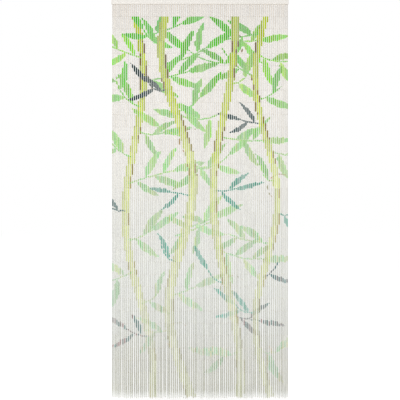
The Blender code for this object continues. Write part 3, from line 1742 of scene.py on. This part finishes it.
@dataclass(frozen=True)
class BambooStrands:
    """All tubes of all strands, joined into pieces of a few neighbouring strands each.

    The tubes grow thinner by the taper from the rail down to tapered_at, a share of the strand.
    """

    row: StrandRow
    tube: Tube
    leaf_print: LeafPrint
    strands_a_piece: int = 5
    gap: float = 0.0003
    girth_spread: float = 0.03
    taper: float = 0.07
    tapered_at: float = 0.40
    nudge: float = 0.00015
    crease: float = 40.0
    cells_across: int = 20
    cells_up: int = 8

    def build(self, material: bpy.types.Material) -> list[bpy.types.Object]:
        """Builds the pieces.

        Args:
            material: The tubes' finish.

        Returns:
            The pieces, from -X to +X.
        """
        painted = self.leaf_print.paint()
        pattern = self.tube.pattern(self.row.tube_pitch - self.gap)
        pieces = []
        for first in range(0, self.row.count, self.strands_a_piece):
            strands = range(first, min(first + self.strands_a_piece, self.row.count))
            number = first // self.strands_a_piece + 1
            pieces.append(self.piece(f"strands_{number:02d}", strands, pattern, painted, material))
        return pieces

    def piece(
        self,
        name: str,
        strands: range,
        pattern: Pattern,
        painted: list[list[list[Stroke]]],
        material: bpy.types.Material,
    ) -> bpy.types.Object:
        """Builds one piece of neighbouring strands.

        Args:
            name: The piece's name.
            strands: Its strands.
            pattern: One tube.
            painted: The strokes of each strand's tubes.
            material: The tubes' finish.

        Returns:
            The piece.
        """
        tubes = [(strand, tube) for strand in strands for tube in range(self.row.tubes)]
        points, rest, ends = [], [], []
        for strand, tube in tubes:
            placed, at_rest, from_ends = self.placed(strand, tube, pattern)
            points.append(placed)
            rest.append(at_rest)
            ends.append(from_ends)
        faces = pattern.faces_of(len(tubes))
        piece = joined_piece(name, np.array(points), faces, material, self.crease)
        carry(piece.data, "rest", PointData.VECTOR, np.array(rest))
        carry(piece.data, "tube", PointData.VECTOR, np.array(ends))
        self.carry_chance(piece.data, tubes, len(pattern.points))
        self.carry_print(piece.data, tubes, painted, len(pattern.points))
        self.lay_out(piece.data, pattern, len(tubes))
        return piece

    def placed(
        self, strand: int, tube: int, pattern: Pattern
    ) -> tuple[np.ndarray, np.ndarray, np.ndarray]:
        """Puts one tube on its strand.

        Args:
            strand: Which strand, counted from -X.
            tube: Which tube, counted from the rail.
            pattern: One tube.

        Returns:
            Its points in the row frame; for each, its place on the strand hung true; and for each,
            how far it is from the tube's two ends, and whether it lies on the painted skin.
        """
        index = strand * self.row.tubes + tube
        upper = self.row.point(strand, tube / self.row.tubes)
        lower = self.row.point(strand, (tube + 1) / self.row.tubes)
        spare = (upper.z - lower.z) - self.row.tube_pitch
        girth = 1.0 - self.taper * min(1.0, tube / (self.tapered_at * self.row.tubes))
        girth *= 1.0 + self.girth_spread * scatter(index, Salt.GIRTH)
        roll = math.pi * scatter(index, Salt.ROLL)
        local = pattern.points.copy()
        half_pitch = 0.5 * self.row.tube_pitch
        local[:, 2] -= np.where(local[:, 2] < -half_pitch, spare, 0.0)
        length = -local[:, 2].min()
        cos, sin = math.cos(roll), math.sin(roll)
        across = girth * (cos * local[:, 0] - sin * local[:, 1])
        fore = girth * (sin * local[:, 0] + cos * local[:, 1])
        down = 0.5 * self.gap - local[:, 2]
        share = down / (upper.z - lower.z)
        off_x = self.nudge * scatter(index, Salt.NUDGE_ACROSS)
        off_y = self.nudge * scatter(index, Salt.NUDGE_FORE)
        points = np.stack(
            (
                upper.x + (lower.x - upper.x) * share + across + off_x,
                upper.y + (lower.y - upper.y) * share + fore + off_y,
                upper.z - down,
            ),
            axis=1,
        )
        drop = (tube + share) * self.row.tube_pitch
        ends = np.stack((-local[:, 2], length + local[:, 2], self.tube.skin(local)), axis=1)
        return points, np.stack((across, fore, drop), axis=1), ends

    def carry_chance(
        self, mesh: bpy.types.Mesh, tubes: list[tuple[int, int]], points_each: int
    ) -> None:
        """Gives each tube its own tone, warmth and seed.

        Args:
            mesh: The piece's mesh.
            tubes: The strand and the tube's number on it, for each tube.
            points_each: How many points a tube has.
        """
        quantities = (Salt.TONE, Salt.WARMTH, Salt.SEED)
        indices = [strand * self.row.tubes + tube for strand, tube in tubes]
        drawn = [[scatter(index, quantity) for quantity in quantities] for index in indices]
        carry(mesh, "chance", PointData.VECTOR, np.repeat(np.array(drawn), points_each, axis=0))

    def carry_print(
        self,
        mesh: bpy.types.Mesh,
        tubes: list[tuple[int, int]],
        painted: list[list[list[Stroke]]],
        points_each: int,
    ) -> None:
        """Gives each tube the edges and paints of its strokes, layer by layer.

        Args:
            mesh: The piece's mesh.
            tubes: The strand and the tube's number on it, for each tube.
            painted: The strokes of each strand's tubes.
            points_each: How many points a tube has.
        """
        for layer in range(self.leaf_print.layers):
            near = np.zeros((len(tubes), 3))
            far = np.zeros((len(tubes), 3))
            ink = np.zeros((len(tubes), 4))
            rounded = np.zeros((len(tubes), 1))
            for number, (strand, tube) in enumerate(tubes):
                strokes = painted[strand][tube]
                if layer < len(strokes):
                    stroke = strokes[layer]
                    near[number] = stroke.near
                    far[number] = stroke.far
                    ink[number] = stroke.colour.linear(stroke.cover)
                    rounded[number] = stroke.round_off
            for label, kind, values in (
                ("near", PointData.VECTOR, near),
                ("far", PointData.VECTOR, far),
                ("ink", PointData.COLOUR, ink),
                ("round", PointData.VALUE, rounded),
            ):
                carry(mesh, f"{label}_{layer}", kind, np.repeat(values, points_each, axis=0))

    def lay_out(self, mesh: bpy.types.Mesh, pattern: Pattern, copies: int) -> None:
        """Gives each tube its own cell of the piece's unrolled surface.

        Args:
            mesh: The piece's mesh.
            pattern: One tube.
            copies: How many tubes the piece has.
        """
        cells = np.arange(copies)
        corner = np.stack((cells % self.cells_across, cells // self.cells_across), axis=1)
        places = pattern.unrolled[None, :, :] + corner[:, None, :]
        places = places / np.array((self.cells_across, self.cells_up))
        layer = mesh.uv_layers.new(name="OFBake")
        layer.data.foreach_set("uv", places.astype(np.float32).ravel())


@dataclass(frozen=True)
class Threads:
    """The threads that the tubes hang on, from their roots in the rail down to the end knots."""

    row: StrandRow
    diameter: float = 0.0009
    sides: int = 5
    root: float = 0.0020
    crease: float = 60.0

    def build(self, material: bpy.types.Material) -> bpy.types.Object:
        """Builds all threads in one piece.

        Args:
            material: The thread's finish.

        Returns:
            The piece.
        """
        pattern = self.pattern()
        rows = np.round(-pattern.points[:, 2] * self.row.tubes).astype(int)
        drops = [tube / self.row.tubes for tube in range(self.row.tubes + 1)]
        placed = []
        for strand in range(self.row.count):
            path = np.array([tuple(self.row.point(strand, drop)) for drop in drops])
            path[0, 2] += self.root
            centres = path[rows]
            centres[:, :2] += pattern.points[:, :2]
            placed.append(centres)
        faces = pattern.faces_of(self.row.count)
        return joined_piece("threads", np.array(placed), faces, material, self.crease)

    def pattern(self) -> Pattern:
        """Extrudes one thread downwards, a step for each tube that it carries.

        Returns:
            The thread's arrays. It is 1 long.
        """
        shape = bmesh.new()
        bmesh.ops.create_circle(shape, segments=self.sides, radius=0.5 * self.diameter)
        edges = shape.edges[:]
        for _ in range(self.row.tubes):
            grown = bmesh.ops.extrude_edge_only(shape, edges=edges)["geom"]
            lower = [item for item in grown if isinstance(item, bmesh.types.BMVert)]
            edges = [item for item in grown if isinstance(item, bmesh.types.BMEdge)]
            bmesh.ops.translate(shape, vec=(0.0, 0.0, -1.0 / self.row.tubes), verts=lower)
        bmesh.ops.recalc_face_normals(shape, faces=shape.faces)
        return Pattern.read(shape)


@dataclass(frozen=True)
class EndKnots:
    """The knot under each strand's last tube, and the thread's short tail.

    A knot sits in the tube's bore by the recess. Its tail starts below its middle by a share of
    its height, frays towards its end, and leans by up to a share of its length.
    """

    row: StrandRow
    diameter: float = 0.0056
    height: float = 0.0036
    knot_sides: int = 8
    knot_rings: int = 5
    recess: float = 0.0004
    tail: float = 0.0050
    tail_thickness: float = 0.0010
    tail_sides: int = 5
    tail_fray: float = 1.4
    tail_start: float = 0.3
    tail_lean: float = 0.35

    def build(self, material: bpy.types.Material) -> bpy.types.Object:
        """Builds all knots in one piece.

        Args:
            material: The thread's finish.

        Returns:
            The piece.
        """
        shape = bmesh.new()
        for strand in range(self.row.count):
            self.tie(shape, strand)
        piece = shaped_piece("end_knots", shape, material)
        piece.data.shade_smooth()
        return piece

    def tie(self, shape: bmesh.types.BMesh, strand: int) -> None:
        """Adds one knot with its tail.

        Args:
            shape: Where the knot goes.
            strand: Which strand, counted from -X.
        """
        centre = self.row.point(strand, 1.0) + Vector((0.0, 0.0, self.recess))
        knot = bmesh.ops.create_uvsphere(
            shape, u_segments=self.knot_sides, v_segments=self.knot_rings, radius=0.5
        )["verts"]
        bmesh.ops.scale(shape, vec=(self.diameter, self.diameter, self.height), verts=knot)
        bmesh.ops.translate(shape, vec=centre, verts=knot)
        tail = bmesh.ops.create_cone(
            shape,
            cap_ends=True,
            segments=self.tail_sides,
            radius1=0.5 * self.tail_thickness * self.tail_fray,
            radius2=0.5 * self.tail_thickness,
            depth=self.tail,
        )["verts"]
        bmesh.ops.translate(shape, vec=(0.0, 0.0, -0.5 * self.tail), verts=tail)
        lean = Vector((scatter(strand, Salt.TAIL), scatter(strand + 0.5, Salt.TAIL), 0.0))
        for vert in tail:
            vert.co += lean * (self.tail_lean * -vert.co.z)
        start = centre - Vector((0.0, 0.0, self.tail_start * self.height))
        bmesh.ops.translate(shape, vec=start, verts=tail)


# The studio


@dataclass(frozen=True)
class SoftLight:
    """A square light that faces the curtain's middle. Its power is in watts."""

    name: str
    place: tuple[float, float, float]
    size: float
    power: float


@dataclass(frozen=True)
class Studio:
    """Camera, white surroundings, soft lights and a pale floor below the curtain.

    The frame is as high as the photograph, in which a pixel stands for that size on the curtain.
    """

    rail_top: float
    curtain_y: float
    lowest: float
    pixels: int = 400
    pixel: float = 0.005079
    distance: float = 8.0
    sensor: float = 36.0
    surroundings: float = 0.56
    lights: tuple[SoftLight, ...] = (
        SoftLight("key", (-2.4, -4.4, -0.1), size=3.2, power=88.0),
        SoftLight("fill", (2.8, -4.0, -0.8), size=3.0, power=44.0),
    )
    floor_gap: float = 0.035
    floor_reach: float = 40.0
    floor_look: Colour = Colour(244, 244, 244)
    floor_white: tuple[float, float, float, float] = (0.9, 0.9, 0.9, 1.0)
    floor_roughness: float = 0.9
    floor_glow: float = 0.5
    display_gamma: float = 0.87

    def build(self) -> None:
        """Builds the whole studio."""
        self.place_camera()
        self.make_surroundings()
        for light in self.lights:
            self.place_light(light)
        self.lay_floor()
        scene = bpy.context.scene
        scene.view_settings.view_transform = "Standard"
        scene.view_settings.look = "None"
        scene.view_settings.gamma = self.display_gamma

    def place_camera(self) -> None:
        """Looks straight at the curtain, which fills the frame from top to bottom."""
        frame_height = self.pixels * self.pixel
        lens = bpy.data.cameras.new("camera")
        lens.sensor_width = self.sensor
        lens.lens = self.sensor * self.distance / frame_height
        camera = add_object("camera", lens)
        middle = self.rail_top - 0.5 * frame_height
        camera.location = (0.0, self.curtain_y - self.distance, middle)
        camera.rotation_euler = (0.5 * math.pi, 0.0, 0.0)
        bpy.context.scene.camera = camera

    def make_surroundings(self) -> None:
        """White all round, which shines less on the curtain than it does as a backdrop."""
        world = bpy.data.worlds.new("studio")
        world.use_nodes = True
        w = Wiring(world.node_tree)
        backdrop = world.node_tree.nodes["Background"]
        w.feed(backdrop.inputs["Color"], WHITE.linear())
        w.feed(backdrop.inputs["Strength"], w.seen(self.surroundings, 1.0))
        bpy.context.scene.world = world

    def place_light(self, soft: SoftLight) -> None:
        """Adds one light.

        Args:
            soft: The light.
        """
        lamp = bpy.data.lights.new(soft.name, "AREA")
        lamp.shape = "SQUARE"
        lamp.size = soft.size
        lamp.energy = soft.power
        light = add_object(soft.name, lamp)
        light.location = soft.place
        aim = Vector((0.0, self.curtain_y, 0.5 * self.lowest)) - light.location
        light.rotation_euler = aim.to_track_quat("-Z", "Y").to_euler()

    def lay_floor(self) -> None:
        """A white floor below the strands, which the camera sees as bright as the backdrop."""
        material, w, shader = new_material("studio_floor", self.floor_look)
        w.feed(shader.inputs["Base Color"], self.floor_white)
        w.feed(shader.inputs["Roughness"], self.floor_roughness)
        w.feed(shader.inputs["Emission Color"], WHITE.linear())
        w.feed(shader.inputs["Emission Strength"], w.seen(0.0, self.floor_glow))
        shape = bmesh.new()
        bmesh.ops.create_grid(shape, x_segments=4, y_segments=4, size=self.floor_reach)
        bmesh.ops.translate(shape, vec=(0.0, 0.0, self.lowest - self.floor_gap), verts=shape.verts)
        shaped_piece("floor", shape, material)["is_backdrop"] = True


# Putting it together


def fit(piece: bpy.types.Object) -> None:
    """Lets a piece ride on the curtain and stand for the solid strands.

    Args:
        piece: The piece.
    """
    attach(piece, "root")
    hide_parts("strands")
    LOG.info("%s: %d faces", piece.name, len(piece.data.polygons))


def main() -> None:
    """Builds and dresses the curtain."""
    logging.basicConfig(level=logging.INFO, format="%(name)s %(message)s")
    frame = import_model()
    rail_low, rail_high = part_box("rail")
    row = StrandRow(top_z=rail_low.z, centre_y=0.5 * (rail_low.y + rail_high.y))
    leaf_print = LeafPrint(row)
    tube = Tube()
    effects = Effects()

    rail = frame["nodes"]["rail"]
    rail.data.materials.clear()
    rail.data.materials.append(PaintedWood(rail_low, rail_high).material(effects))
    LOG.info("rail: %d faces, kept from the solids", len(rail.data.polygons))

    bamboo = PaintedBamboo(leaf_print.layers, row.full_length, 0.5 * tube.diameter)
    for piece in BambooStrands(row, tube, leaf_print).build(bamboo.material(effects)):
        fit(piece)
    thread = TwistedThread().material(effects)
    for piece in (Threads(row).build(thread), EndKnots(row).build(thread)):
        fit(piece)

    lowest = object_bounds()[0].z
    Studio(rail_top=rail_high.z, curtain_y=row.centre_y, lowest=lowest).build()


if __name__ == "__main__":
    main()
